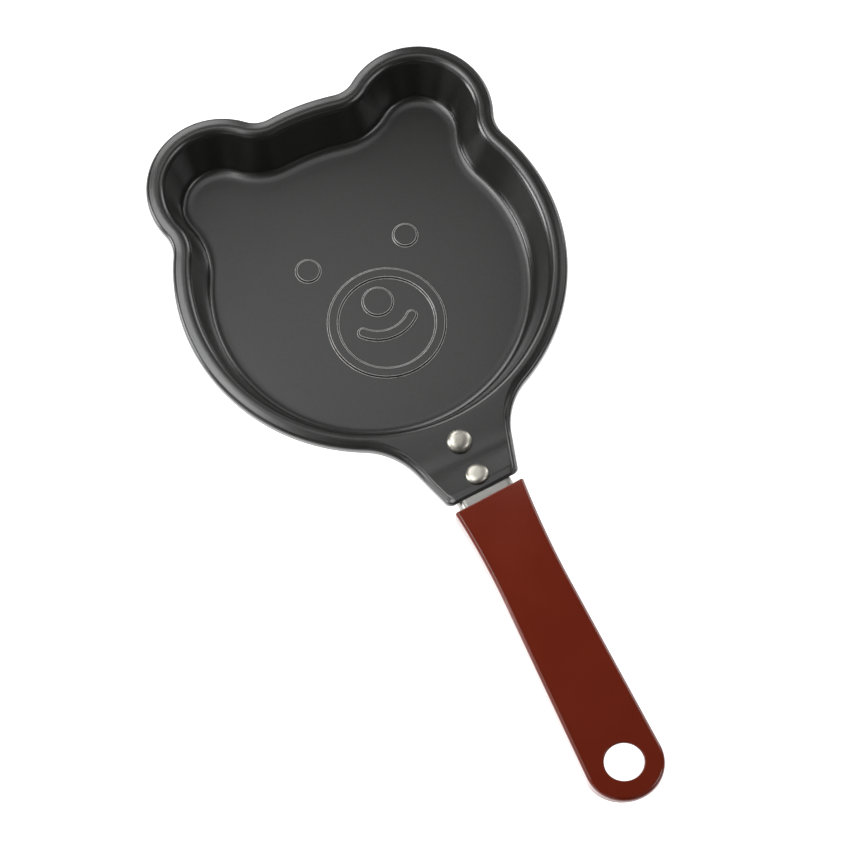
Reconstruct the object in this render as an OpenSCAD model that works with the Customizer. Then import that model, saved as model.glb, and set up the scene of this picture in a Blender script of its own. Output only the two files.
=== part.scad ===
// A small frying pan: one pressed steel head with two round ears, a riveted
// bracket, and a lacquered sheet-steel grip with a hole to hang it by.
// The origin is the centre of the pan's underside, +Z is up, the grip runs along -Y.

/* [Head outline] */
// Radius of the round head at the outside of its lip
head_r = 64; // [60:0.5:80]
// Direction of each ear from the head's centre, up from the sideways axis
ear_angle = 52.1; // [49:0.1:55]
// How far each ear's centre lies inside the round outline
ear_sink = 8.1; // [6:0.1:10]
// Radius of each ear at the outside of its lip
ear_r = 24.7; // [21:0.1:28]
// Radius of the hollow between the head and an ear
side_fillet_r = 11; // [6:0.5:16]
// Radius of the hollow between an ear and the crown
crown_fillet_r = 9; // [6:0.5:14]
// Radius of the flat arc between the ears
crown_r = 79; // [72:0.5:90]
// How far the middle of the crown lies inside the round outline
crown_drop = 2; // [1:0.1:3.5]
// Turn of the ears and the face about the head's centre, against the grip
head_turn = -3.2; // [-6:0.1:6]

/* [Head profile] */
// Height from the underside to the top of the flange
pan_h = 18.2; // [14:0.1:30]
// Thickness of the pressed sheet
sheet_t = 1; // [0.8:0.1:1.2]
// From the outline in to the corner of flange and wall
shoulder_inset = 5.6; // [5:0.1:8]
// From the outline in to the corner of wall and floor
foot_inset = 11.7; // [9:0.1:14]
// Radius of the shoulder, on the food side
shoulder_r = 3; // [2:0.1:3.5]
// Radius where the wall meets the floor, on the food side
foot_r = 2.5; // [1:0.1:3]
// Radius of the turned-down edge
lip_r = 1.5; // [1.3:0.1:2]
// Height of the turned-down edge
lip_h = 3; // [2.4:0.1:4]

/* [Pressed face] */
// Height of the pressed shapes above the floor
press_h = 0.6; // [0.3:0.1:1]
// Width of the slope round a pressed shape
press_run = 0.5; // [0.3:0.1:0.8]
// Width of the pressed bands
band_w = 3.4; // [2.4:0.1:4]
// Radius of each eye
eye_r = 4; // [2.5:0.1:5.5]
// Sideways place of each eye
eye_x = 17; // [12:0.5:22]
// Forward place of the eyes
eye_y = 12.5; // [12:0.5:20]
// Middle radius of the band round the muzzle
muzzle_r = 17.5; // [16:0.5:20]
// How far the muzzle's centre lies behind the head's centre
muzzle_back = 14; // [12:0.5:18]
// Radius of the nose
nose_r = 5; // [3:0.1:5.5]
// From the muzzle's centre to the nose's centre
nose_up = 8; // [7:0.5:8.5]
// Middle radius of the smile, about the nose's centre
smile_r = 12; // [10.5:0.5:13]
// Angle from the middle of the smile to each end of it
smile_half = 45; // [30:1:50]

/* [Tab] */
// From the round outline to the bend of the tab
bend_run = 9; // [8:0.1:12]
// From the rear rivet to the end of the tab, seen from above
tab_tail = 5.7; // [4.5:0.1:9]
// Width of the tab at its end
tab_w = 25; // [24:0.1:32]
// Angle by which each side of the tab opens towards the head
tab_flare = 15.6; // [8:0.1:20]
// Radius of the hollow between the head and the tab
tab_fillet_r = 24; // [14:0.5:30]
// Radius of the tab's end corners
tab_corner_r = 3; // [2.5:0.1:4]
// Angle by which the end of the tab rises
tab_rise = 13; // [4:0.5:16]

/* [Rivets] */
// From the bend forward to the front rivet
front_rivet_run = 5.1; // [4.7:0.1:5.5]
// Diameter of the front rivet's dome
front_rivet_d = 8.1; // [6.5:0.1:8.4]
// Height of the front rivet's dome
front_rivet_h = 2.3; // [1.2:0.1:3]
// From the bend back to the rear rivet, seen from above
rear_rivet_run = 8.3; // [6.5:0.1:10]
// Diameter of the rear rivet's dome
rear_rivet_d = 7.5; // [6:0.1:8.2]
// Height of the rear rivet's dome
rear_rivet_h = 1.7; // [1:0.1:2.5]
// Height of the straight rim under each dome
rivet_rim_h = 0.5; // [0.2:0.1:1]
// Diameter of the rivet shanks
shank_d = 4; // [3:0.1:4.5]
// Gap between a shank and its hole, all round
shank_gap = 0.1; // [0.05:0.01:0.15]
// Diameter of the closed heads under the bracket
tail_d = 6.6; // [5.5:0.1:7.5]
// Height of the closed heads
tail_h = 1.3; // [0.8:0.1:2]

/* [Bracket] */
// Width of the bracket over its sides
bracket_w = 19; // [16:0.1:19.4]
// Thickness of the bracket's steel
bracket_t = 1.5; // [1.2:0.1:2]
// Height of the bracket's sides
bracket_h = 5; // [4:0.1:5.5]
// From the front rivet to the bracket's front end
bracket_lead = 5.7; // [4.5:0.1:6]
// Length of the bracket inside the grip
bracket_in = 29; // [18:0.5:34]

/* [Grip] */
// From the end of the tab to the grip's front edge
grip_gap = 3.3; // [3:0.1:10]
// From the grip's front edge to the hanging hole's centre
grip_run = 100.1; // [90:0.1:130]
// Radius of the grip's end, about the hanging hole
grip_end_r = 13; // [12.6:0.1:16]
// Angle by which each side narrows from the end towards the front
grip_taper = 1.6; // [0.8:0.1:1.8]
// From the hanging hole to where the sides start to open again
flare_run = 62.5; // [50:0.5:70]
// Radius of the opening sides near the front
flare_r = 306; // [250:1:600]
// Height of the grip's top face above the pan's rim
grip_lift = 4.8; // [3.6:0.1:6.8]
// Thickness of the grip's lacquered sheet
grip_t = 1.2; // [1:0.1:1.3]
// Height of the grip's sides, with the top face
grip_h = 7; // [6.4:0.1:10]
// Radius of the grip's long edges
grip_edge_r = 1.6; // [1.4:0.1:2.4]
// Height of the grip's edge at its tip
tip_h = 2.4; // [2:0.1:4]
// Diameter of the hanging hole
hole_d = 12.8; // [8:0.1:16]

/* [Hidden] */

arc_fn = 96;
corner_steps = 3;
lip_steps = 4;
ear_steps = 12;
head_steps = 11;
hollow_steps = 3;
tab_steps = 3;
crown_steps = 2;
tip_steps = 8;
flare_steps = 6;
overrun = 5;

pan_colour = [0.24, 0.24, 0.23];
steel_colour = [0.62, 0.63, 0.62];
rivet_colour = [0.82, 0.81, 0.78];
grip_colour = [0.41, 0.16, 0.1];

// Places along the tab, bracket and grip, from the head's centre
bend_reach = head_r + bend_run;
front_rivet_reach = bend_reach - front_rivet_run;
rear_rivet_reach = bend_reach + rear_rivet_run;
tab_reach = rear_rivet_reach + tab_tail;
bracket_reach = front_rivet_reach - bracket_lead;
grip_reach = tab_reach + grip_gap;

// Centres of the hollows beside an ear, worked out for the ear at +X
head_c = [0, 0];
ear_c = polar(head_c, head_r - ear_sink, ear_angle);
crown_c = [0, head_r - crown_drop - crown_r];
side_c = meet(head_c, head_r + side_fillet_r, ear_c, ear_r + side_fillet_r, -1);
side_from = 180 + angle_of(side_c);
side_to = angle_of(ear_c - side_c);
notch_c = meet(crown_c, crown_r + crown_fillet_r, ear_c, ear_r + crown_fillet_r, 1);
notch_from = angle_of(ear_c - notch_c);
notch_to = angle_of(crown_c - notch_c);

// Tab side line and the hollow that joins it to the head
side_n = [cos(tab_flare), -sin(tab_flare)];
tab_foot = [tab_w / 2, -tab_reach];
tab_c = hollow_centre(tab_foot, side_n, head_r, tab_fillet_r);
tab_from = angle_of(tab_c);
tab_side_end = tab_c - tab_fillet_r * side_n;

// Centre of the tab's end corner, and where the straight side starts
corner_foot = tab_foot - tab_corner_r * side_n;
corner_run = (tab_corner_r - tab_reach - corner_foot[1]) / cos(tab_flare);
corner_c = corner_foot + corner_run * left_of(side_n);
tab_side_start = corner_c + tab_corner_r * side_n;

// Height of the level plane under the tab, and where the bracket meets the grip
tab_under_z = pan_h - sheet_t;
tab_slope = tan(tab_rise);
grip_face_z = pan_h + grip_lift;
grip_under_z = grip_face_z - grip_t;
climb_end_y = -bend_reach - (grip_under_z - tab_under_z) / tab_slope;
bracket_end_y = -grip_reach - bracket_in;

// Where the flange's bend line is set on stretches that have no bend
edge_share = 0.93;

// Cross-section of the head's sheet: first the distance in from the outline, then the height
wall_slope = (foot_inset - shoulder_inset) / (pan_h - sheet_t);
wall_shift = sheet_t * norm([1, wall_slope]);
under_shoulder = [shoulder_inset + sheet_t * wall_slope - wall_shift, tab_under_z];
under_foot = [shoulder_inset + pan_h * wall_slope - wall_shift, 0];
wall_above = concat(
    round_corner([0, pan_h], [shoulder_inset, pan_h], [foot_inset, sheet_t], shoulder_r),
    round_corner([shoulder_inset, pan_h], [foot_inset, sheet_t], [head_r, sheet_t], foot_r)
);
wall_below = concat(
    round_corner([0, tab_under_z], under_shoulder, under_foot, shoulder_r - sheet_t),
    round_corner(under_shoulder, under_foot, [head_r, 0], foot_r + sheet_t)
);

// The edge turned down in full, and the edge cut off level with the sheet's underside
turned = edge_points(lip_r, sheet_t, lip_h, pan_h);
roll_z = pan_h - lip_r;
cut_share = 0.5;
cut_above = [
    for (p = turned[0]) [p[0], pan_h + (p[1] - pan_h) * (p[1] < roll_z ? sheet_t / lip_h : cut_share)]
];
cut_below = [for (p = turned[1]) [p[1] < roll_z ? cut_share * sheet_t : p[0], tab_under_z]];

// Grip side, worked out for the side at +X
hole_c = [0, -grip_reach - grip_run];
grip_n = [cos(grip_taper), sin(grip_taper)];
grip_d = [-sin(grip_taper), cos(grip_taper)];
grip_side_0 = hole_c + grip_end_r * grip_n;
grip_side_1 = grip_side_0 + flare_run * grip_d;
flare_c = grip_side_1 + flare_r * grip_n;
flare_from = 180 + grip_taper;
flare_to = 180 - asin((-grip_reach - flare_c[1]) / flare_r);

function angle_of(v) = atan2(v[1], v[0]);
function unit(v) = v / norm(v);
function left_of(v) = [-v[1], v[0]];
function polar(c, r, a) = c + r * [cos(a), sin(a)];

// Where two circles meet, on the side that side_sign picks
function meet(c1, r1, c2, r2, side_sign) =
    let (v = c2 - c1, d = norm(v), a = (r1 * r1 - r2 * r2 + d * d) / (2 * d))
    c1 + a * v / d + side_sign * sqrt(r1 * r1 - a * a) * left_of(v) / d;

// Centre of an arc that touches a round head from outside and a line through p with outward normal n
function hollow_centre(p, n, r_head, r) =
    let (t = left_of(n), q = p + r * n, b = q * t, c = q * q - pow(r_head + r, 2))
    q - (b + sqrt(b * b - c)) * t;

// Points of an arc, both ends included
function arc_pts(c, r, a0, a1, n) = [for (i = [0:n]) polar(c, r, a0 + (a1 - a0) * i / n)];

// Corner of a path rounded with radius r, as points
function round_corner(a, b, c, r) =
    let (
        u = unit(a - b),
        v = unit(c - b),
        half = acos(u * v) / 2,
        m = b + unit(u + v) * r / sin(half),
        f0 = angle_of(b + u * r / tan(half) - m),
        f1 = angle_of(b + v * r / tan(half) - m),
        turn = f1 - f0 > 180 ? f1 - f0 - 360 : f1 - f0 < -180 ? f1 - f0 + 360 : f1 - f0
    )
    arc_pts(m, r, f0, f0 + turn, corner_steps);

function reversed(list) = [for (i = [len(list) - 1:-1:0]) list[i]];

function spun(v, a) = [v[0] * cos(a) - v[1] * sin(a), v[0] * sin(a) + v[1] * cos(a)];

function mixed(a, b, share) = [for (i = [0:len(a) - 1]) share * a[i] + (1 - share) * b[i]];

// Stations along the outline. Each holds a point of the edge and its outward direction, the
// matching point over the wall and its outward direction, and the share the edge is turned down.
function station(p, n, share = 1) = [p, n, p, n, share];

function arc_stations(c, r, a0, a1, n, hollow = false) = [
    for (i = [0:n - 1])
        let (a = a0 + (a1 - a0) * i / n)
        station(polar(c, r, a), (hollow ? -1 : 1) * [cos(a), sin(a)])
];

// The tab's stations keep the wall below them on the round head
function over_wall(list) = [
    for (s = list)
        let (x = s[0][0], h = [x, -sqrt(head_r * head_r - x * x)])
        [s[0], s[1], h, h / head_r, s[4]]
];

tab_end_stations = [
    for (i = [0:tab_steps - 1])
        station([corner_c[0] * i / tab_steps, -tab_reach], [0, -1], 0)
];
tab_corner_stations = [
    for (i = [0:tab_steps - 1])
        let (a = -90 + (90 - tab_flare) * i / tab_steps)
        station(polar(corner_c, tab_corner_r, a), [cos(a), sin(a)], i / tab_steps)
];
tab_side_stations = [
    for (i = [0:tab_steps - 1])
        station(tab_side_start + (tab_side_end - tab_side_start) * i / tab_steps, side_n)
];
tab_stations = over_wall(concat(
    tab_end_stations,
    tab_corner_stations,
    tab_side_stations,
    arc_stations(tab_c, tab_fillet_r, 180 - tab_flare, 180 + tab_from, 2 * tab_steps, true)
));
ear_stations = concat(
    arc_stations(side_c, side_fillet_r, side_from, side_to, hollow_steps, true),
    arc_stations(ear_c, ear_r, side_to - 180, notch_from + 180, ear_steps),
    arc_stations(notch_c, crown_fillet_r, notch_from, notch_to, hollow_steps, true),
    arc_stations(crown_c, crown_r, notch_to + 180, 90, crown_steps)
);

// Half of the outline, from the middle of the tab's end to the crown, with the ears turned
function half_stations(turn) = concat(
    tab_stations,
    arc_stations(head_c, head_r, tab_from, angle_of(side_c) + turn, head_steps),
    [for (s = ear_stations) [spun(s[0], turn), spun(s[1], turn), spun(s[2], turn), spun(s[3], turn), s[4]]]
);

function flipped(v) = [-v[0], v[1]];

crown_mid = spun([0, head_r - crown_drop], head_turn);
stations = let (right = half_stations(head_turn), left = half_stations(-head_turn)) concat(
    right,
    [station(crown_mid, unit(crown_mid - spun(crown_c, head_turn)))],
    [for (i = [len(left) - 1:-1:1])
        let (s = left[i])
        [flipped(s[0]), flipped(s[1]), flipped(s[2]), flipped(s[3]), s[4]]]
);

// A point of the cross-section at a station, raised where it lies beyond the tab's bend
function placed(p, n, section) =
    let (q = p - section[0] * n)
    [q[0], q[1], section[1] + max(0, -bend_reach - q[1]) * tab_slope];

// The point of the flange where it crosses the bend, between the wall and the edge
function bend_point(wall_p, edge_p, z) =
    let (
        run = wall_p[1] - edge_p[1],
        share = run > 0 ? min(edge_share, (wall_p[1] + bend_reach) / run) : edge_share,
        q = wall_p + share * (edge_p - wall_p)
    )
    [q[0], q[1], z];

// The sheet's cross-section at a station, from the floor's top round the edge to its underside
function sheet_ring(s) =
    let (
        above = mixed(turned[0], cut_above, s[4]),
        below = mixed(turned[1], cut_below, s[4]),
        edge_p = s[0] - lip_r * s[1]
    )
    concat(
        [for (q = reversed(wall_above)) placed(s[2], s[3], q)],
        [bend_point(s[2] - wall_above[0][0] * s[3], edge_p, pan_h)],
        [for (q = reversed(above)) placed(s[0], s[1], q)],
        [for (q = below) placed(s[0], s[1], q)],
        [bend_point(s[2] - wall_below[0][0] * s[3], edge_p, tab_under_z)],
        [for (q = wall_below) placed(s[2], s[3], q)]
    );

// Half of the grip's outline, from the tip to the front edge
grip_half = concat(
    arc_stations(hole_c, grip_end_r, -90, grip_taper, tip_steps),
    [station(grip_side_0, grip_n)],
    arc_stations(flare_c, flare_r, flare_from, flare_to, flare_steps, true),
    [station(polar(flare_c, flare_r, flare_to), [1, 0])]
);
grip_stations = concat(
    [for (i = [len(grip_half) - 1:-1:1]) [flipped(grip_half[i][0]), flipped(grip_half[i][1])]],
    grip_half
);

// The grip's cross-section at a station, lower round the tip than along the sides
function grip_ring(s) =
    let (
        beyond = max(0, hole_c[1] - s[0][1]) / grip_end_r,
        e = edge_points(grip_edge_r, grip_t, grip_h + beyond * (tip_h - grip_h), grip_face_z)
    )
    [for (q = concat(reversed(e[0]), e[1])) let (p = s[0] - q[0] * s[1]) [p[0], p[1], q[1]]];

// A sheet through rings of points that run from its top face round its edge to its underside.
// A closed one goes all the way round; an open one ends in a flat cross-section.
module swept_sheet(rings, closed) {
    n = len(rings);
    m = len(rings[0]);
    strips = [
        for (i = [0:closed ? n - 1 : n - 2], j = [0:m - 2])
            let (a = i * m + j, b = (i + 1) % n * m + j)
            each [[a, b, a + 1], [b, b + 1, a + 1]]
    ];
    top = [for (i = [n - 1:-1:0]) i * m];
    under = [for (i = [0:n - 1]) i * m + m - 1];
    end = [for (j = [0:2 * m - 1]) j < m ? j : n * m + m - 1 - j];
    polyhedron(
        [for (ring = rings) each ring],
        concat(strips, [top, under], closed ? [] : [end])
    );
}

// Outer and inner points of a turned-down edge of sheet, from its bottom to its flat top
function edge_points(r, t, h, top) = [
    concat([[0, top - h]], arc_pts([r, top - r], r, 180, 90, lip_steps)),
    concat([[t, top - h]], arc_pts([r, top - r], r - t, 180, 90, lip_steps / 2))
];

module both_sides() {
    children();
    mirror([1, 0, 0])
        children();
}

// Cross-section of a pressed shape, out from its middle, with its foot inside the floor
module press_section(half_w) {
    foot = sheet_t / 2;
    polygon([
        [0, foot],
        [half_w, foot],
        [half_w, sheet_t],
        [half_w - press_run, sheet_t + press_h],
        [0, sheet_t + press_h]
    ]);
}

module disc(c, r, turn = 360) {
    translate([c[0], c[1], 0])
        rotate_extrude(angle = turn, $fn = arc_fn)
            press_section(r);
}

// A band along an arc about the origin
module band(r, a0, a1) {
    rotate([0, 0, a0])
        rotate_extrude(angle = a1 - a0, $fn = arc_fn)
            translate([r, 0]) {
                press_section(band_w / 2);
                mirror([1, 0])
                    press_section(band_w / 2);
            }
}

module band_with_ends(r, a0, a1) {
    band(r, a0, a1);
    rotate([0, 0, a1])
        disc([r, 0], band_w / 2, 180);
    rotate([0, 0, a0])
        mirror([0, 1, 0])
            disc([r, 0], band_w / 2, 180);
}

// A plain teddy face: two eyes, and a round muzzle with nose and smile
module pressed_face() {
    disc([eye_x, eye_y], eye_r);
    disc([-eye_x, eye_y], eye_r);
    translate([0, -muzzle_back, 0]) {
        band(muzzle_r, 0, 360);
        translate([0, nose_up, 0]) {
            disc(head_c, nose_r);
            band_with_ends(smile_r, -90 - smile_half, -90 + smile_half);
        }
    }
}

module shank_hole() {
    depth = sheet_t + bracket_t;
    translate([0, 0, -depth - overrun / 2])
        cylinder(d = shank_d + 2 * shank_gap, h = depth + overrun, $fn = arc_fn);
}

module at_front_rivet() {
    translate([0, -front_rivet_reach, pan_h])
        children();
}

module at_rear_rivet() {
    translate([0, -rear_rivet_reach, pan_h + (rear_rivet_reach - bend_reach) * tab_slope])
        rotate([-tab_rise, 0, 0])
            children();
}

module pan_shell() {
    color(pan_colour)
        difference() {
            union() {
                swept_sheet([for (s = stations) sheet_ring(s)], true);
                rotate([0, 0, head_turn])
                    pressed_face();
            }
            at_front_rivet()
                shank_hole();
            at_rear_rivet()
                shank_hole();
        }
}

// A rivet with its dome on the tab, z = 0 at the tab's top, through a stack of sheets
module rivet(d, h, stack) {
    cap_h = h - rivet_rim_h;
    cap_r = (pow(d / 2, 2) + pow(cap_h, 2)) / (2 * cap_h);
    intersection() {
        translate([0, 0, h - cap_r])
            sphere(cap_r, $fn = arc_fn);
        cylinder(d = d, h = h, $fn = arc_fn);
    }
    translate([0, 0, -stack])
        cylinder(d = shank_d, h = stack + rivet_rim_h / 2, $fn = arc_fn);
    translate([0, 0, -stack - tail_h])
        cylinder(d = tail_d, h = tail_h, $fn = arc_fn);
}

module front_rivet() {
    color(rivet_colour)
        at_front_rivet()
            rivet(front_rivet_d, front_rivet_h, sheet_t + bracket_t);
}

module rear_rivet() {
    color(rivet_colour)
        at_rear_rivet()
            rivet(rear_rivet_d, rear_rivet_h, (sheet_t + bracket_t) * cos(tab_rise));
}

// Side view of a strip that follows the bracket's top, depth thick, as a polygon of (y, z)
module bracket_strip(depth) {
    top = [
        [-bracket_reach, tab_under_z],
        [-bend_reach, tab_under_z],
        [climb_end_y, grip_under_z],
        [bracket_end_y, grip_under_z]
    ];
    polygon(concat(top, [for (p = reversed(top)) p - [0, depth]]));
}

module across(w) {
    translate([-w / 2, 0, 0])
        rotate([90, 0, 90])
            linear_extrude(w)
                children();
}

module handle_bracket() {
    color(steel_colour)
        difference() {
            union() {
                across(bracket_w)
                    bracket_strip(bracket_t);
                both_sides()
                    translate([(bracket_w - bracket_t) / 2, 0, 0])
                        across(bracket_t)
                            bracket_strip(bracket_h);
            }
            at_front_rivet()
                shank_hole();
            at_rear_rivet()
                shank_hole();
        }
}

module grip_shell() {
    color(grip_colour)
        difference() {
            swept_sheet([for (s = grip_stations) grip_ring(s)], false);
            translate([hole_c[0], hole_c[1], grip_under_z - overrun])
                cylinder(d = hole_d, h = grip_t + 2 * overrun, $fn = arc_fn);
        }
}

pan_shell();
front_rivet();
rear_rivet();
handle_bracket();
grip_shell();
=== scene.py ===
"""A small frying pan with a riveted sheet-steel handle, dressed round its CAD frame.

Sizes are in millimetres and angles in degrees, in the part's own frame: the origin is the
centre of the pan's underside, +Z is up and the grip runs along -Y. A reach is a distance
from the origin along -Y. The meshes are written in metres.
"""
import math

import bmesh
import bpy
from mathutils import Matrix, Vector
from mathutils.geometry import delaunay_2d_cdt


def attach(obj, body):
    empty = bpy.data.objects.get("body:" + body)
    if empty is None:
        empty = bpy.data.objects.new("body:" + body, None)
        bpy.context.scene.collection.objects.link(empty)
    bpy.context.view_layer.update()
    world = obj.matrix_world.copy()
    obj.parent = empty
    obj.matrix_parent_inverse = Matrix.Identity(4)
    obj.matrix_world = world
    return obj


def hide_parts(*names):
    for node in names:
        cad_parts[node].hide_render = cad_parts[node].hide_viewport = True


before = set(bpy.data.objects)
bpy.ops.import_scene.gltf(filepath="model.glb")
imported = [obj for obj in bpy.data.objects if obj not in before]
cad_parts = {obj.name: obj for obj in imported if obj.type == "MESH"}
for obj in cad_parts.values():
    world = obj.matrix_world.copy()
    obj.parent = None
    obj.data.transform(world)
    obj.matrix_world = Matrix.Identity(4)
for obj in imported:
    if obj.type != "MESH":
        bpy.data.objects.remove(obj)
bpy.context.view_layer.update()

MM = 0.001
BODY = "root"

# Camera, from the fit of the outline, floor edge, rivets and hanging hole
IMAGE_PX = 850
PX_PER_MM = 3.11
CAMERA_AZ = -23.96
CAMERA_EL = 68.12
CAMERA_ROLL = -1.22
CAMERA_FAR = 3000.0
CAMERA_CLIP = 20.0  # metres
LOOK_AT = (-7.34, -57.46, 16.9)
SENSOR = 36.0

# Head outline: a circle, two round ears and a shallow crown, joined by fillets
HEAD_R = 64.0
EAR_ANGLE = 52.1  # from +X to the centre of the ear
EAR_SINK = 8.1  # from the head's edge in to the centre of the ear
EAR_R = 24.7
SIDE_FILLET_R = 11.0
CROWN_FILLET_R = 9.0
CROWN_R = 79.0
CROWN_DROP = 2.0  # from the head's circle to the middle of the crown
HEAD_TURN = -3.2  # of ears and face against the handle

# Head profile, where an inset is measured from the outline inwards
PAN_H = 18.2
SHEET_T = 1.0
SHOULDER_INSET = 5.6
FOOT_INSET = 11.7
SHOULDER_R = 3.0
FOOT_R = 2.5
FOOT_EASE = (1.3, 3.6)  # run of the inner foot's bend up the wall and over the floor
LIP_R = 1.5
LIP_H = 3.0
EDGE_DROOP = 0.25
DROOP_RUN = 2.2
DROOP_MOST = 0.95  # of the flange's width, where it is narrow
UNDER_Z = PAN_H - SHEET_T

# Tab
TAB_END_W = 25.0
TAB_FLARE = 15.6
TAB_FILLET_R = 24.0
TAB_CORNER_R = 3.0
BEND_REACH = 73.0
BEND_HALF = 3.0
TAB_REACH = 87.0
TAB_RISE = 13.0
TAB_DROOP = 0.3  # more droop along the tab's sides
TAB_DROOP_RUN = (60.0, 70.0)  # reaches between which it sets in

# Slant of the tab's end and the grip's front, and the reaches between which each sets in
END_SLANT = 4.2
TAB_SLANT_RUN = (74.0, 87.0)
GRIP_SLANT_RUN = (108.0, 90.3)

# Rivets, each head as (diameter, height)
FRONT_RIVET_REACH = 67.9
REAR_RIVET_REACH = 81.3
FRONT_RIVET = (8.1, 2.3)
REAR_RIVET = (7.5, 1.7)
RIVET_RIM_H = 0.5
RIM_FOOT = ((0.0, 0.225), (0.06, 0.08), (0.25, 0.0))  # (in from the rim, height)
DOME_FLAT = 0.62  # 1 is a half ellipse, and less is flatter on top
SHANK_D = 4.0
TAIL_D = 6.6
TAIL_H = 1.3
TAIL_SIDE = ((0.3, 0.0), (0.0, 0.3), (0.0, 0.78), (0.5, TAIL_H))  # (in from the rim, depth)

# Bracket
BRACKET_W = 19.0
BRACKET_T = 1.5
BRACKET_H = 5.0
BRACKET_REACH = 62.2
BRACKET_END = 119.3
BRACKET_BEND_R = 2.2
BRACKET_SOFT = 0.2  # width of the worn edges

# Grip
GRIP_REACH = 90.3
GRIP_RUN = 100.1
GRIP_END_R = 13.0
GRIP_TAPER = 1.6
FLARE_RUN = 62.5
FLARE_R = 306.0
GRIP_FACE_Z = 23.0
GRIP_T = 1.2
GRIP_H = 7.0
TIP_H = 2.4
GRIP_EDGE_R = 1.2
GRIP_INNER_R = 0.4
GRIP_SOFT = 0.4  # width of the worn edges
HOLE_R = 6.4
HOLE_EDGE_R = 0.5

# Pressed face: eyes as (x, y, radius), muzzle as (back, radius), nose as (up from the
# muzzle's centre, radius), and smile as (radius about the nose, half its angle)
EYE = (17.0, 12.5, 4.0)
MUZZLE = (14.0, 17.5)
NOSE = (8.0, 5.0)
SMILE = (12.0, 45.0)
BAND_W = 3.4
PRESS_H = 0.6

# The step up to a pressed shape: its run, how far it starts outside the shape, the radius
# of its two bends, the level rows on both sides, and how strongly the coating paints a
# highlight on each row, from outside in
STEP_RUN = 0.55
STEP_OUT = 0.2
STEP_EDGE_R = 0.4
STEP_LEVEL = (-0.6, 0.9)
STEP_HIGHLIGHT_PAINT = (0, 0, 0.5, 1, 1, 0.5, 0, 0, 0.5, 1, 1, 0.5, 0, 0)

# Spacing of the mesh along outlines
STEP = 1.0
GRIP_STEP = 3.0
FINE = 0.4

# Number of steps in a bend or a turn
BEND_N = 8
HIDDEN_BEND_N = 4
FOOT_N = 14  # the wall's foot, inside the pan
UNDER_SHOULDER_N = 6
STEP_BEND_N = 5
BAND_END_N = 10
DOME_N = 18
TURN_N = 96
FLANGE_N = 20  # rows across the flange
BRACKET_N = 60  # rows along the bracket

# Mesh: weld distance in metres, angles from which an edge is sharp or worn, and the fill
# of a loop, with its tolerance in millimetres and the code for triangles inside it
WELD = 1e-7
SHARP = 35
RIVET_SHARP = 50
WORN_FROM = 40
WORN_SEGMENTS = 3
FILL_EPS = 1e-7
FILL_INSIDE = 1

NOISE_ROUGHNESS = 0.6

# Lights: distance, size and target, then name, azimuth, height and power in watts
SOFT_BOXES = (
    (900, 350, (0, -40, 15), (
        ("left rear box", 153, 15, 3.3),
        ("left box", 190, 20, 0.4),
        ("right box", 20, 18, 1.25),
        ("right rear box", 45, 32, 0.3),
        ("right front box", 322, 45, 1.1),
        ("left front box", 225, 34, 0.2),
    )),
    (420, 200, (0, -5, 10), (
        ("near rear box", 90, 35, 0.43),
        ("near left rear box", 135, 62, 0.52),
        ("near left box", 175, 58, 0.24),
        ("near right box", 2, 45, 0.14),
    )),
    (420, 128, (0, -5, 10), (("top box", 65, 69.5, 0.056),)),
    (350, 150, (0, -190, 20), (("grip end box", 285, 50, 0.025),)),
)
WORLD_COLOR = (1, 0.98, 0.94, 1)
WORLD_STRENGTH = 0.005
FLOOR_HALF = 3.0  # metres
FLOOR_BELOW = 0.05


def cos(a):
    return math.cos(math.radians(a))


def sin(a):
    return math.sin(math.radians(a))


def tan(a):
    return math.tan(math.radians(a))


def angle_of(v):
    return math.degrees(math.atan2(v[1], v[0]))


def polar(c, r, a):
    return Vector((c[0] + r * cos(a), c[1] + r * sin(a)))


def left_of(v):
    return Vector((-v[1], v[0]))


def spun(v, a):
    return Vector((v[0] * cos(a) - v[1] * sin(a), v[0] * sin(a) + v[1] * cos(a)))


def flipped(v):
    return Vector((-v[0], v[1]))


def share_of(reach, run):
    """How far a reach has come from the start of a run to its end, from 0 to 1."""
    return min(1, max(0, (reach - run[0]) / (run[1] - run[0])))


def meet(c1, r1, c2, r2, side):
    """Where two circles meet, on the left of the line between their centres if side is 1."""
    v = c2 - c1
    d = v.length
    a = (r1 * r1 - r2 * r2 + d * d) / (2 * d)
    return c1 + a * v / d + side * math.sqrt(r1 * r1 - a * a) * left_of(v) / d


def hollow_centre(p, n, head_r, r):
    """Centre of an arc that touches the round head from outside and the line through p."""
    t = left_of(n)
    q = p + r * n
    b = q.dot(t)
    c = q.dot(q) - (head_r + r) ** 2
    return q - (b + math.sqrt(b * b - c)) * t


def arc_angles(a0, a1, r, step):
    n = max(2, math.ceil(abs(math.radians(a1 - a0)) * r / step))
    return [a0 + (a1 - a0) * i / n for i in range(n)]


def arc_points(c, r, a0, a1, n):
    return [polar(c, r, a0 + (a1 - a0) * i / n) for i in range(n + 1)]


def line_points(p0, p1, step):
    n = max(1, math.ceil((p1 - p0).length / step))
    return [p0.lerp(p1, i / n) for i in range(n)]


def station(p, n, share=1.0):
    """A place on an outline: a point of the edge and its outward direction, the same over
    the wall, and the share by which the edge is turned down."""
    return (Vector(p), Vector(n), Vector(p), Vector(n), share)


def arc_stations(c, r, a0, a1, hollow=False):
    sign = -1 if hollow else 1
    return [
        station(polar(c, r, a), sign * Vector((cos(a), sin(a))))
        for a in arc_angles(a0, a1, r, STEP)
    ]


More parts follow.
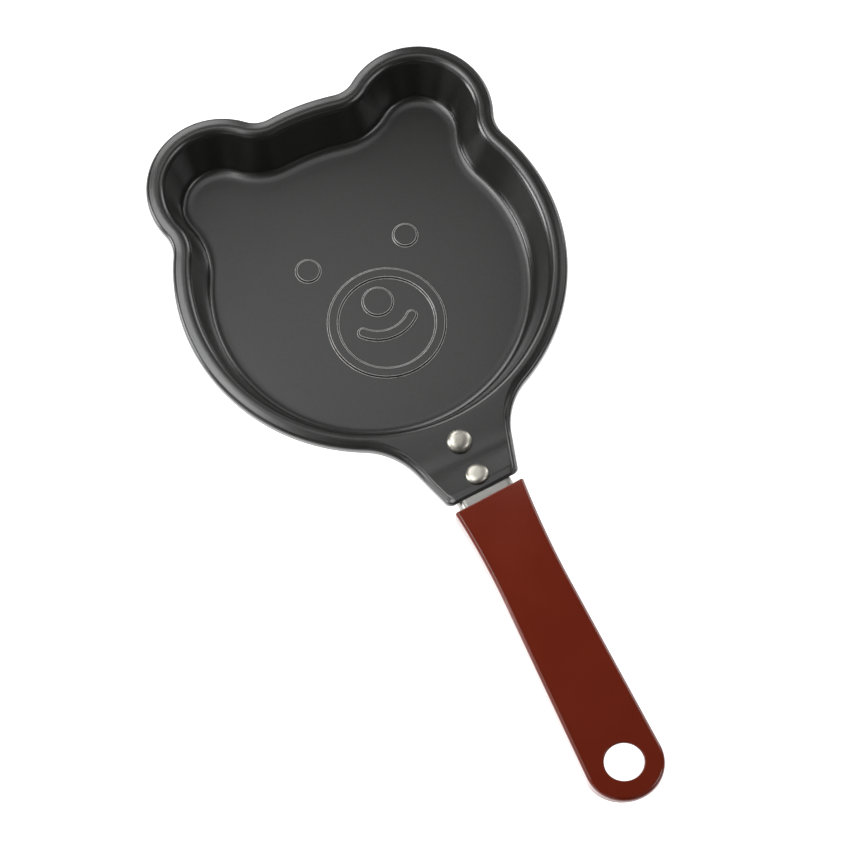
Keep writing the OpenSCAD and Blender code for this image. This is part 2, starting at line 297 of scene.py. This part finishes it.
def over_head(stations):
    """Puts the wall below the tab's stations on the round head."""
    out = []
    for p, n, _, _, share in stations:
        h = Vector((p.x, -math.sqrt(HEAD_R**2 - p.x**2)))
        out.append((p, n, h, h / HEAD_R, share))
    return out


def half_outline(turn):
    """From the middle of the tab's end round +X to the crown, with the ears turned."""
    head_c = Vector((0, 0))
    ear_c = polar(head_c, HEAD_R - EAR_SINK, EAR_ANGLE)
    crown_c = Vector((0, HEAD_R - CROWN_DROP - CROWN_R))
    side_c = meet(head_c, HEAD_R + SIDE_FILLET_R, ear_c, EAR_R + SIDE_FILLET_R, -1)
    side_to = angle_of(ear_c - side_c)
    notch_c = meet(crown_c, CROWN_R + CROWN_FILLET_R, ear_c, EAR_R + CROWN_FILLET_R, 1)
    notch_from = angle_of(ear_c - notch_c)
    notch_to = angle_of(crown_c - notch_c)

    side_n = Vector((cos(TAB_FLARE), -sin(TAB_FLARE)))
    tab_foot = Vector((TAB_END_W / 2, -TAB_REACH))
    tab_c = hollow_centre(tab_foot, side_n, HEAD_R, TAB_FILLET_R)
    tab_from = angle_of(tab_c)
    corner_foot = tab_foot - TAB_CORNER_R * side_n
    run = (TAB_CORNER_R - TAB_REACH - corner_foot.y) / cos(TAB_FLARE)
    corner_c = corner_foot + run * left_of(side_n)

    end = [
        station(p, (0, -1), 0.0)
        for p in line_points(Vector((0, -TAB_REACH)), Vector((corner_c.x, -TAB_REACH)), STEP)
    ]
    corner = [
        station(polar(corner_c, TAB_CORNER_R, a), (cos(a), sin(a)), (a + 90) / (90 - TAB_FLARE))
        for a in arc_angles(-90, -TAB_FLARE, TAB_CORNER_R, FINE)
    ]
    side = [
        station(p, side_n)
        for p in line_points(corner_c + TAB_CORNER_R * side_n, tab_c - TAB_FILLET_R * side_n, STEP)
    ]
    hollow = arc_stations(tab_c, TAB_FILLET_R, 180 - TAB_FLARE, 180 + tab_from, True)
    ears = (
        arc_stations(side_c, SIDE_FILLET_R, 180 + angle_of(side_c), side_to, True)
        + arc_stations(ear_c, EAR_R, side_to - 180, notch_from + 180)
        + arc_stations(notch_c, CROWN_FILLET_R, notch_from, notch_to, True)
        + arc_stations(crown_c, CROWN_R, notch_to + 180, 90)
    )
    head = arc_stations(head_c, HEAD_R, tab_from, angle_of(side_c) + turn)
    turned = [tuple(spun(v, turn) for v in s[:4]) + (s[4],) for s in ears]
    return over_head(end + corner + side + hollow) + head + turned


def outline():
    """All stations of the sheet's edge, once round from the middle of the tab's end."""
    right = half_outline(HEAD_TURN)
    left = half_outline(-HEAD_TURN)
    mirrored = [tuple(flipped(v) for v in s[:4]) + (s[4],) for s in left[:0:-1]]
    crown = spun((0, HEAD_R - CROWN_DROP), HEAD_TURN)
    return right + [station(crown, spun((0, 1), HEAD_TURN))] + mirrored


def rounded(a, b, c, r, n):
    """The corner b of a path from a to c, rounded with radius r."""
    u = (Vector(a) - Vector(b)).normalized()
    v = (Vector(c) - Vector(b)).normalized()
    half = math.degrees(math.acos(u.dot(v))) / 2
    m = Vector(b) + (u + v).normalized() * r / sin(half)
    tangent = r * cos(half) / sin(half)
    f0 = angle_of(Vector(b) + u * tangent - m)
    f1 = angle_of(Vector(b) + v * tangent - m)
    turn = (f1 - f0 + 180) % 360 - 180
    return arc_points(m, r, f0, f0 + turn, n)


def eased(a, b, c, before, after, n):
    """The corner b of a path from a to c, rounded so that the bend fades out towards c."""
    b = Vector(b)
    p0 = b + (Vector(a) - b).normalized() * before
    p2 = b + (Vector(c) - b).normalized() * after
    return [p0.lerp(b, i / n).lerp(b.lerp(p2, i / n), i / n) for i in range(n + 1)]


def rise(y):
    """Height that the tab gains beyond its bend."""
    slope = tan(TAB_RISE)
    t = -BEND_REACH - y
    if t < -BEND_HALF:
        return 0.0
    if t > BEND_HALF:
        return t * slope
    return (t + BEND_HALF) ** 2 / (4 * BEND_HALF) * slope


def slanted(v, run):
    """Moves a point along the handle so that the edge at the run's end gets its slant."""
    return Vector((v.x, v.y + share_of(-v.y, run) * v.x * tan(END_SLANT), v.z))


def placed(p, n, section):
    """A point of a cross-section, given as (inset, height), at a point of the outline."""
    q = p - section[0] * n
    return Vector((q.x, q.y, section[1] + rise(q.y)))


def wall_sections():
    """The sheet's upper side and underside from shoulder to foot, as (inset, height)."""
    slope = (FOOT_INSET - SHOULDER_INSET) / UNDER_Z
    shift = SHEET_T * math.hypot(1, slope)
    shoulder = (SHOULDER_INSET, PAN_H)
    foot = (FOOT_INSET, SHEET_T)
    under_shoulder = (SHOULDER_INSET + SHEET_T * slope - shift, UNDER_Z)
    under_foot = (SHOULDER_INSET + PAN_H * slope - shift, 0)
    above = rounded((0, PAN_H), shoulder, foot, SHOULDER_R, BEND_N)
    above += eased(shoulder, foot, (HEAD_R, SHEET_T), *FOOT_EASE, FOOT_N)
    below = rounded(
        (0, UNDER_Z), under_shoulder, under_foot, SHOULDER_R - SHEET_T, UNDER_SHOULDER_N
    )
    below += rounded(under_shoulder, under_foot, (HEAD_R, 0), FOOT_R + SHEET_T, BEND_N)
    return above, below


def edge_sections():
    """Outer and inner side of the edge, each as (cut, turned down), as (inset, height)."""
    roll_c = Vector((LIP_R, PAN_H - LIP_R))
    lip_z = PAN_H - LIP_H
    inner_r = LIP_R - SHEET_T
    turned_out = [Vector((0, lip_z))] + arc_points(roll_c, LIP_R, 180, 90, BEND_N)
    turned_in = [Vector((SHEET_T, lip_z))] + arc_points(roll_c, inner_r, 180, 90, HIDDEN_BEND_N)
    cut_out = [Vector((0, UNDER_Z))]
    cut_out += [Vector((p.x, PAN_H + (p.y - PAN_H) / 2)) for p in turned_out[1:]]
    cut_in = [Vector((SHEET_T / 2, UNDER_Z))]
    cut_in += [Vector((p.x, UNDER_Z)) for p in turned_in[1:]]
    return list(zip(cut_out, turned_out)), list(zip(cut_in, turned_in))


def sheet_rings():
    """Cross-sections of the pan's sheet, from the floor's top round the edge to its underside."""
    above, below = wall_sections()
    outside, inside = edge_sections()
    rings = []
    for p, n, wall_p, wall_n, share in outline():
        drop = edge_drop(p.y, share)
        droop = Vector((0, drop))
        out = [cut.lerp(turned, share) - droop for cut, turned in outside]
        inn = [cut.lerp(turned, share) - droop for cut, turned in inside]
        edge = p - LIP_R * n
        ring = [placed(wall_p, wall_n, q) for q in reversed(above)]
        ring += flange(wall_p - above[0].x * wall_n, edge, PAN_H, drop)
        ring += [placed(p, n, q) for q in reversed(out)]
        ring += [placed(p, n, q) for q in inn]
        ring += reversed(flange(wall_p - below[0].x * wall_n, edge, UNDER_Z, drop))
        ring += [placed(wall_p, wall_n, q) for q in below]
        rings.append([slanted(v, TAB_SLANT_RUN) for v in ring])
    return rings


def edge_drop(y, share):
    """How far the sheet's edge droops, which is more along the tab's two sides."""
    t = share_of(-y, TAB_DROOP_RUN)
    return EDGE_DROOP + TAB_DROOP * share * t * t * (3 - 2 * t)


def flange(inner, edge, z, drop):
    """Points on the flange from its inner side to its edge, which droops a little."""
    run = (edge - inner).length
    soft = min(DROOP_RUN, DROOP_MOST * run)
    level_rows = FLANGE_N // 2
    points = []
    for i in range(1, FLANGE_N):
        if i <= level_rows:
            s = run - (run - soft) * i / level_rows
        else:
            s = soft * (FLANGE_N - i) / (FLANGE_N - level_rows)
        q = edge.lerp(inner, s / run)
        droop = drop * max(0, 1 - s / soft) ** 2
        points.append(Vector((q.x, q.y, z - droop + rise(q.y))))
    return points


def band_loop(r, a0, a1, half_w):
    """The outline of a band along an arc about the origin, with round ends."""
    steps = math.ceil(math.radians(a1 - a0) * r / FINE)
    loop = arc_points((0, 0), r + half_w, a0, a1, steps)
    loop += arc_points(polar((0, 0), r, a1), half_w, a1, a1 + 180, BAND_END_N)[1:-1]
    loop += arc_points((0, 0), r - half_w, a1, a0, steps)
    loop += arc_points(polar((0, 0), r, a0), half_w, a0 + 180, a0 + 360, BAND_END_N)[1:-1]
    return loop


def circle_loop(c, r, n=None):
    n = n or math.ceil(2 * math.pi * r / FINE)
    return arc_points(c, r, 0, 360, n)[:-1]


def step_section():
    """The step from the floor up to a pressed shape, as (inset, height)."""
    before, beyond = STEP_LEVEL
    low, high = (0, SHEET_T), (STEP_RUN, SHEET_T + PRESS_H)
    section = [Vector((before, SHEET_T))]
    section += rounded((low[0] - 1, low[1]), low, high, STEP_EDGE_R, STEP_BEND_N)
    section += rounded(low, high, (high[0] + 1, high[1]), STEP_EDGE_R, STEP_BEND_N)
    return section + [Vector((beyond, high[1]))]


def face_loops():
    """Loops round the pressed shapes as (points, height), and each one's painted highlight."""
    eye_x, eye_y, eye_r = EYE
    muzzle_back, muzzle_r = MUZZLE
    nose_up, nose_r = NOSE
    smile_r, smile_half = SMILE
    muzzle = Vector((0, -muzzle_back))
    nose = Vector((0, nose_up - muzzle_back))
    half_w = BAND_W / 2 + STEP_OUT
    loops, row_highlights = [], []
    for (inset, z), row_highlight in zip(step_section(), STEP_HIGHLIGHT_PAINT):
        smile = band_loop(smile_r, -90 - smile_half, -90 + smile_half, half_w - inset)
        row = [circle_loop((x, eye_y), eye_r + STEP_OUT - inset) for x in (-eye_x, eye_x)]
        row.append(circle_loop(muzzle, muzzle_r + half_w - inset))
        row.append(circle_loop(muzzle, muzzle_r - half_w + inset))
        row.append(circle_loop(nose, nose_r + STEP_OUT - inset))
        row.append([p + nose for p in smile])
        loops += [([spun(p, HEAD_TURN) for p in points], z) for points in row]
        row_highlights += [row_highlight] * len(row)
    return loops, row_highlights


def plate(bm, boundary, loops, up, pierced=False):
    """Fills the boundary with triangles that keep to the loops, which are holes if pierced.

    Returns each vertex with the number of its loop, where 0 is the boundary.
    """
    points, heights, edges = [], [], []
    for loop, z in [boundary] + loops:
        first = len(points)
        points += [Vector((p[0], p[1])) for p in loop]
        heights += [z] * len(loop)
        edges += [(first + i, first + (i + 1) % len(loop)) for i in range(len(loop))]
    verts, _, faces, origins, _, _ = delaunay_2d_cdt(points, edges, [], FILL_INSIDE, FILL_EPS)
    inner = len(boundary[0])
    made = [
        bm.verts.new(Vector((v.x, v.y, heights[o[0]])) * MM) for v, o in zip(verts, origins)
    ]
    for face in faces:
        if pierced and all(origins[i][0] >= inner for i in face):
            continue
        corners = [made[i] for i in face]
        bm.faces.new(corners if up else corners[::-1])
    owners = [k for k, (loop, _) in enumerate([boundary] + loops) for _ in loop]
    return [(vert, owners[o[0]]) for vert, o in zip(made, origins)]


def strip_faces(bm, rings, closed):
    """Joins each row of points to the next one, and the last to the first if closed."""
    grid = [[bm.verts.new(p * MM) for p in ring] for ring in rings]
    n = len(grid)
    for i in range(n if closed else n - 1):
        a, b = grid[i], grid[(i + 1) % n]
        for j in range(len(a) - 1):
            bm.faces.new((a[j], a[j + 1], b[j + 1], b[j]))
    return grid


def finish_mesh(bm, name, sharp=SHARP):
    """Welds, smooths and wraps the mesh as an object of the scene."""
    bmesh.ops.remove_doubles(bm, verts=bm.verts, dist=WELD)
    bmesh.ops.recalc_face_normals(bm, faces=bm.faces)
    mesh = bpy.data.meshes.new(name)
    bm.to_mesh(mesh)
    bm.free()
    mesh.shade_smooth()
    mesh.set_sharp_from_angle(angle=math.radians(sharp))
    obj = bpy.data.objects.new(name, mesh)
    bpy.context.scene.collection.objects.link(obj)
    return obj


def even_normals(obj):
    """Lets the large flat faces set the shading of the edges next to them."""
    even = obj.modifiers.new("even normals", "WEIGHTED_NORMAL")
    even.keep_sharp = True
    return obj


def rounded_edges(obj, width):
    bevel = obj.modifiers.new("rounded edges", "BEVEL")
    bevel.width = width * MM
    bevel.segments = WORN_SEGMENTS
    bevel.limit_method = "ANGLE"
    bevel.angle_limit = math.radians(WORN_FROM)
    return even_normals(obj)


def dress(obj, node, material):
    """Lets a piece stand for a CAD node and material."""
    obj.data.materials.append(material)
    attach(obj, BODY)
    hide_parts(node)


def make_pan():
    """The pressed sheet, with the rows of the face's steps marked for the coating's painted
    highlight.
    """
    bm = bmesh.new()
    rings = sheet_rings()
    strip_faces(bm, rings, True)
    floor_edge = ([ring[0].xy for ring in rings], SHEET_T)
    # marks each vertex with how strongly the coating paints a highlight on it
    highlight_paint = bm.verts.layers.float.new("highlight_paint")
    loops, row_highlights = face_loops()
    for vert, owner in plate(bm, floor_edge, loops, True):
        vert[highlight_paint] = ([0] + row_highlights)[owner]
    plate(bm, ([ring[-1].xy for ring in rings], 0.0), [], False)
    return even_normals(finish_mesh(bm, "pan_sheet"))


def make_rivet(name, reach, size, tilt):
    """One rivet: dome on the tab, shank, and closed head under the bracket."""
    r, h = size[0] / 2, size[1]
    cap_h = h - RIVET_RIM_H
    stack = (SHEET_T + BRACKET_T) * cos(tilt)
    turns = [90 * i / DOME_N for i in range(DOME_N)]
    profile = [(r * sin(a) ** DOME_FLAT, h - cap_h * (1 - cos(a))) for a in turns]
    profile.append((r, RIVET_RIM_H))
    profile += [(r - x, z) for x, z in RIM_FOOT]
    profile += [(SHANK_D / 2, 0.0), (SHANK_D / 2, -stack)]
    profile += [(TAIL_D / 2 - x, -stack - z) for x, z in TAIL_SIDE]
    profile.append((0, -stack - TAIL_H))
    z = PAN_H + rise(-reach)
    at = Matrix.Translation((0, -reach, z)) @ Matrix.Rotation(math.radians(-tilt), 4, "X")
    rings = [
        [at @ Vector((r * cos(a), r * sin(a), z)) for r, z in profile]
        for a in (360 * i / TURN_N for i in range(TURN_N))
    ]
    bm = bmesh.new()
    strip_faces(bm, rings, True)
    return finish_mesh(bm, name, RIVET_SHARP)


def bracket_z(y):
    """Height of the bracket's top, which follows the tab and then the grip from below."""
    return min(UNDER_Z + rise(y), GRIP_FACE_Z - GRIP_T)


def make_bracket():
    """A channel, open below, that bends up with the tab and runs on inside the grip."""
    half = BRACKET_W / 2
    bend_c = (half - BRACKET_BEND_R, -BRACKET_BEND_R)
    inner_r = BRACKET_BEND_R - BRACKET_T
    outer = [Vector((half, -BRACKET_H))]
    outer += arc_points(bend_c, BRACKET_BEND_R, 0, 90, BEND_N)
    inner = [Vector((half - BRACKET_T, -BRACKET_H))]
    inner += arc_points(bend_c, inner_r, 0, 90, HIDDEN_BEND_N)
    section = outer + [flipped(p) for p in reversed(outer)]
    section += [flipped(p) for p in inner] + inner[::-1] + outer[:1]
    rings = []
    for i in range(BRACKET_N + 1):
        y = -BRACKET_REACH + (BRACKET_REACH - BRACKET_END) * i / BRACKET_N
        z = bracket_z(y)
        rings.append([Vector((p.x, y, z + p.y)) for p in section])
    bm = bmesh.new()
    grid = strip_faces(bm, rings, False)
    bm.faces.new(grid[0][:-1])
    bm.faces.new(grid[-1][:-1][::-1])
    return rounded_edges(finish_mesh(bm, "bracket_channel"), BRACKET_SOFT)


def grip_outline():
    """Stations from the front edge on the left round the tip to the one on the right."""
    hole = Vector((0, -GRIP_REACH - GRIP_RUN))
    n = Vector((cos(GRIP_TAPER), sin(GRIP_TAPER)))
    side_0 = hole + GRIP_END_R * n
    side_1 = side_0 + FLARE_RUN * left_of(n)
    flare_c = side_1 + FLARE_R * n
    to = 180 - math.degrees(math.asin((-GRIP_REACH - flare_c.y) / FLARE_R))
    half = arc_stations(hole, GRIP_END_R, -90, GRIP_TAPER)
    half += [station(p, n) for p in line_points(side_0, side_1, GRIP_STEP)]
    half += arc_stations(flare_c, FLARE_R, 180 + GRIP_TAPER, to, True)
    half.append(station(polar(flare_c, FLARE_R, to), (1, 0)))
    left = [station(flipped(s[0]), flipped(s[1])) for s in half[:0:-1]]
    return left + half, hole


def grip_section(h):
    """The side of the channel from face to rim and back up, h deep, as (inset, height)."""
    outer_c = (GRIP_EDGE_R, -GRIP_EDGE_R)
    inner_c = (GRIP_T + GRIP_INNER_R, -GRIP_T - GRIP_INNER_R)
    outer = [Vector((0, -h))] + arc_points(outer_c, GRIP_EDGE_R, 180, 90, BEND_N)
    inner = [Vector((GRIP_T, -h))] + arc_points(inner_c, GRIP_INNER_R, 180, 90, HIDDEN_BEND_N)
    return outer[::-1] + inner


def make_grip():
    """A channel, open below, with a round end and a rounded hanging hole."""
    stations, hole = grip_outline()
    rings = []
    for p, n, *_ in stations:
        beyond = max(0.0, hole.y - p.y) / GRIP_END_R
        ring = []
        for q in grip_section(GRIP_H + beyond * (TIP_H - GRIP_H)):
            e = p - q.x * n
            ring.append(slanted(Vector((e.x, e.y, GRIP_FACE_Z + q.y)), GRIP_SLANT_RUN))
        rings.append(ring)
    bm = bmesh.new()
    grid = strip_faces(bm, rings, False)
    bm.faces.new(grid[0] + grid[-1][::-1])

    under = GRIP_FACE_Z - GRIP_T
    edge_c = (HOLE_R + HOLE_EDGE_R, GRIP_FACE_Z - HOLE_EDGE_R)
    bore = arc_points(edge_c, HOLE_EDGE_R, 90, 180, BEND_N) + [Vector((HOLE_R, under))]
    mouth, foot = [(circle_loop(hole, r, TURN_N), z) for r, z in (bore[0], bore[-1])]
    plate(bm, ([ring[0].xy for ring in rings], GRIP_FACE_Z), [mouth], True, True)
    plate(bm, ([ring[-1].xy for ring in rings], under), [foot], False, True)
    turns = [360 * i / TURN_N for i in range(TURN_N)]
    strip_faces(bm, [[Vector((*polar(hole, q.x, a), q.y)) for q in bore] for a in turns], True)
    return rounded_edges(finish_mesh(bm, "grip_channel"), GRIP_SOFT)


def new_material(name):
    material = bpy.data.materials.new(name)
    material.use_nodes = True
    nodes = material.node_tree.nodes
    return material, nodes, material.node_tree.links, nodes["Principled BSDF"]


def noise(nodes, links, scale, detail=3.0, stretch=None):
    """A noise texture on the object's coordinates, which stretch multiplies; its output."""
    node = nodes.new("ShaderNodeTexNoise")
    node.inputs["Scale"].default_value = scale
    node.inputs["Detail"].default_value = detail
    node.inputs["Roughness"].default_value = NOISE_ROUGHNESS
    source = nodes.new("ShaderNodeTexCoord").outputs["Object"]
    if stretch:
        mapping = nodes.new("ShaderNodeMapping")
        mapping.inputs["Scale"].default_value = stretch
        links.new(source, mapping.inputs["Vector"])
        source = mapping.outputs["Vector"]
    links.new(source, node.inputs["Vector"])
    return node.outputs["Fac"]


def drive(nodes, links, source, socket, low, high, start=0.3, end=0.7):
    """Sets a socket by a ramp from low to high, as the source goes from start to end."""
    node = nodes.new("ShaderNodeValToRGB")
    for stop, place, color in zip(node.color_ramp.elements, (start, end), (low, high)):
        stop.position = place
        stop.color = (*color, 1)
    links.new(source, node.inputs["Fac"])
    links.new(node.outputs["Color"], socket)
    return node.color_ramp


def grey(v):
    return (v, v, v)


def bump(nodes, links, height, strength, distance):
    """Roughens the shader's surface with a fine relief, distance metres high."""
    node = nodes.new("ShaderNodeBump")
    node.inputs["Strength"].default_value = strength
    node.inputs["Distance"].default_value = distance
    links.new(height, node.inputs["Height"])
    links.new(node.outputs["Normal"], nodes["Principled BSDF"].inputs["Normal"])


def coating_material():
    """Dark grey non-stick coating with a fine grain, and a painted highlight along the face's
    crests.
    """
    material, nodes, links, shader = new_material("dark coating")
    grain = noise(nodes, links, 2600, 2.0)
    cloud = noise(nodes, links, 45, 2.0)
    # the painted highlight marked on the face's crests, added to the grain
    highlight_paint = nodes.new("ShaderNodeAttribute")
    highlight_paint.attribute_name = "highlight_paint"
    grain_and_highlight = nodes.new("ShaderNodeMath")
    grain_and_highlight.operation = "MULTIPLY_ADD"
    grain_and_highlight.inputs[1].default_value = 0.6
    links.new(highlight_paint.outputs["Fac"], grain_and_highlight.inputs[0])
    links.new(grain, grain_and_highlight.inputs[2])
    dark, light = (0.0142, 0.0142, 0.0135), (0.0238, 0.0238, 0.0225)
    base = shader.inputs["Base Color"]
    grain_and_highlight_ramp = drive(nodes, links, grain_and_highlight.outputs["Value"], base, dark, light, 0.3, 0.8)
    # a light grey stop beyond the grain's range: the painted highlight lines on the crests
    grain_and_highlight_ramp.elements.new(0.97).color = (0.58, 0.58, 0.56, 1)
    drive(nodes, links, cloud, shader.inputs["Roughness"], grey(0.28), grey(0.32), 0.35, 0.65)
    shader.inputs["Specular IOR Level"].default_value = 0.45
    shader.inputs["Coat Weight"].default_value = 0.9
    shader.inputs["Coat Roughness"].default_value = 0.2
    bump(nodes, links, grain, 0.25, 0.00006)
    return material


def rivet_material():
    """Polished light metal with faint polishing marks."""
    material, nodes, links, shader = new_material("polished rivet")
    marks = noise(nodes, links, 900)
    dark, light = (0.55, 0.53, 0.468), (0.62, 0.598, 0.53)
    drive(nodes, links, marks, shader.inputs["Base Color"], dark, light)
    drive(nodes, links, marks, shader.inputs["Roughness"], grey(0.35), grey(0.41))
    shader.inputs["Metallic"].default_value = 1.0
    bump(nodes, links, marks, 0.12, 0.00005)
    return material


def steel_material():
    """Bare steel, faintly brushed across."""
    material, nodes, links, shader = new_material("bare steel")
    brush = noise(nodes, links, 2200, stretch=(0.08, 1.0, 1.0))
    dark, light = (0.31, 0.305, 0.287), (0.40, 0.395, 0.373)
    drive(nodes, links, brush, shader.inputs["Base Color"], dark, light)
    drive(nodes, links, brush, shader.inputs["Roughness"], grey(0.30), grey(0.42))
    shader.inputs["Metallic"].default_value = 1.0
    bump(nodes, links, brush, 0.2, 0.00005)
    return material


def lacquer_material():
    """Smooth red-brown lacquer with a faint mottle and orange peel."""
    material, nodes, links, shader = new_material("red-brown lacquer")
    mottle = noise(nodes, links, 60)
    peel = noise(nodes, links, 700, 2.0)
    dark, light = (0.193, 0.0243, 0.0107), (0.211, 0.027, 0.012)
    drive(nodes, links, mottle, shader.inputs["Base Color"], dark, light)
    drive(nodes, links, mottle, shader.inputs["Roughness"], grey(0.13), grey(0.17))
    shader.inputs["Specular IOR Level"].default_value = 0.25
    shader.inputs["Coat Weight"].default_value = 0.9
    shader.inputs["Coat Roughness"].default_value = 0.05
    bump(nodes, links, peel, 0.05, 0.0001)
    return material


def toward(azimuth, height):
    """The direction at an azimuth from +X and a height above the level."""
    return Vector((cos(azimuth) * cos(height), sin(azimuth) * cos(height), sin(height)))


def make_camera():
    """A camera at the photograph's angle, nearly without perspective."""
    back = toward(CAMERA_AZ - 90, CAMERA_EL)
    right = Vector((cos(CAMERA_AZ), sin(CAMERA_AZ), 0))
    up = back.cross(right)
    x = right * cos(CAMERA_ROLL) + up * sin(CAMERA_ROLL)
    y = up * cos(CAMERA_ROLL) - right * sin(CAMERA_ROLL)
    data = bpy.data.cameras.new("camera")
    data.sensor_width = SENSOR
    data.lens = SENSOR * CAMERA_FAR / (IMAGE_PX / PX_PER_MM)
    data.clip_end = CAMERA_CLIP
    camera = bpy.data.objects.new("camera", data)
    place = (Vector(LOOK_AT) + CAMERA_FAR * back) * MM
    camera.matrix_world = Matrix.Translation(place) @ Matrix((x, y, back)).transposed().to_4x4()
    bpy.context.scene.collection.objects.link(camera)
    bpy.context.scene.camera = camera


def soft_box(name, azimuth, height, distance, size, power, target):
    """A square area light that stands in this direction from the target and shines at it."""
    data = bpy.data.lights.new(name, "AREA")
    data.shape = "SQUARE"
    data.size = size * MM
    data.energy = power
    light = bpy.data.objects.new(name, data)
    direction = toward(azimuth, height)
    light.location = (Vector(target) + distance * direction) * MM
    light.rotation_mode = "QUATERNION"
    light.rotation_quaternion = (-direction).to_track_quat("-Z", "Y")
    bpy.context.scene.collection.objects.link(light)


def make_studio():
    world = bpy.data.worlds.new("studio")
    bpy.context.scene.world = world
    world.use_nodes = True
    sky = world.node_tree.nodes["Background"]
    sky.inputs["Color"].default_value = WORLD_COLOR
    sky.inputs["Strength"].default_value = WORLD_STRENGTH
    for distance, size, target, boxes in SOFT_BOXES:
        for name, azimuth, height, power in boxes:
            soft_box(name, azimuth, height, distance, size, power, target)
    bpy.context.scene.view_settings.view_transform = "Standard"


def make_floor():
    """A plain white floor that keeps only a faint shadow."""
    bm = bmesh.new()
    sides = ((-1, -1), (1, -1), (1, 1), (-1, 1))
    corners = [(x * FLOOR_HALF, y * FLOOR_HALF, -FLOOR_BELOW * MM) for x, y in sides]
    bm.faces.new([bm.verts.new(corner) for corner in corners])
    mesh = bpy.data.meshes.new("floor")
    bm.to_mesh(mesh)
    bm.free()
    floor = bpy.data.objects.new("floor", mesh)
    bpy.context.scene.collection.objects.link(floor)
    material, _, _, shader = new_material("white floor")
    shader.inputs["Base Color"].default_value = (0.9, 0.9, 0.9, 1)
    shader.inputs["Roughness"].default_value = 0.9
    shader.inputs["Emission Color"].default_value = (1, 1, 1, 1)
    shader.inputs["Emission Strength"].default_value = 1.0
    mesh.materials.append(material)


make_camera()
make_studio()
make_floor()
dress(make_pan(), "pan_shell", coating_material())
rivet_metal = rivet_material()
front_rivet = make_rivet("rivet_front", FRONT_RIVET_REACH, FRONT_RIVET, 0)
dress(front_rivet, "front_rivet", rivet_metal)
rear_rivet = make_rivet("rivet_rear", REAR_RIVET_REACH, REAR_RIVET, TAB_RISE)
dress(rear_rivet, "rear_rivet", rivet_metal)
dress(make_bracket(), "handle_bracket", steel_material())
dress(make_grip(), "grip_shell", lacquer_material())
